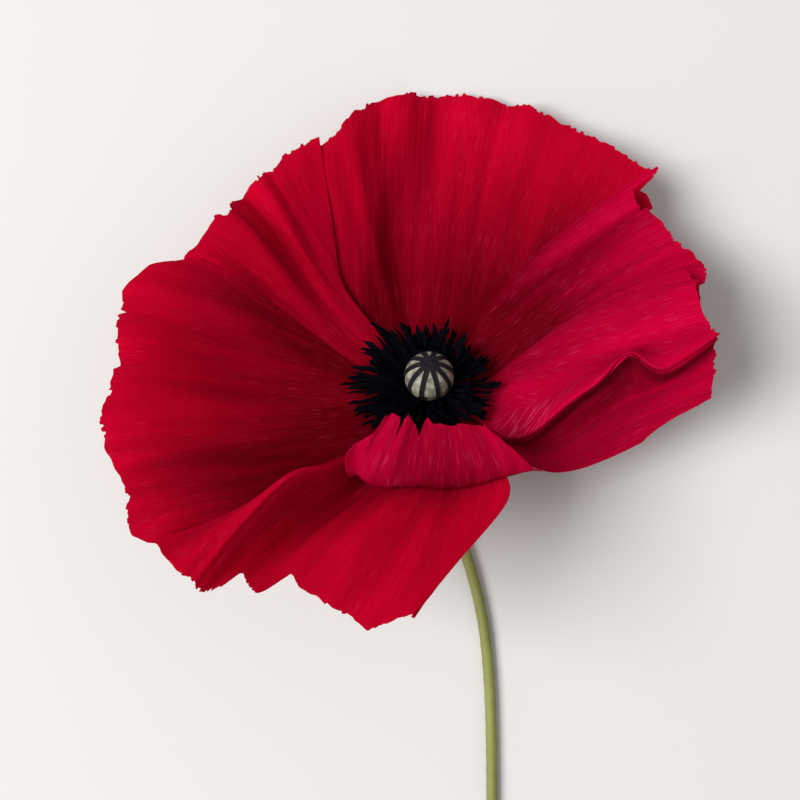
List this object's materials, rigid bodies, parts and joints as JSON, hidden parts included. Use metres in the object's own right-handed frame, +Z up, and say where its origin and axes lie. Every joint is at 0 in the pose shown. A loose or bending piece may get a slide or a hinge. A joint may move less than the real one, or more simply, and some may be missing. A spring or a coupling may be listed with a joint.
{
  "type": "crepe paper poppy",
  "caption": "Red crepe paper poppy: gathered, cupped petals round a rayed seed pod and a fringe of navy stamens, on a bent wire stem wrapped in olive paper. It lies on its back.",
  "frame": {"origin": "middle of the underside of the flower's box, on the surface that the flower lies on", "axes": "+Y along the stem from its cut end towards the bloom, +Z up from the surface that the flower lies on, +X to the right of a viewer who looks down with the bloom at the top"},
  "size_m": [0.1692, 0.362, 0.0839],
  "materials": {
    "red_crepe": "matte",
    "red_crepe_cool": "matte",
    "navy_crepe": "matte",
    "clay": "matte",
    "charcoal_paper": "matte",
    "olive_tape": "matte",
    "steel_wire": "satin"
  },
  "bodies": {
    "root": {"petal_back": "red_crepe", "petal_upper_left": "red_crepe", "petal_right_back": "red_crepe_cool", "petal_left": "red_crepe", "petal_right": "red_crepe_cool", "petal_front": "red_crepe", "petal_curled": "red_crepe_cool", "seed_pod": "clay", "stigma_rays": "charcoal_paper", "stamen_fringe": "navy_crepe", "neck_binding": "olive_tape", "stem_wrap": "olive_tape", "stem_wire": "steel_wire"}
  },
  "joints": []
}
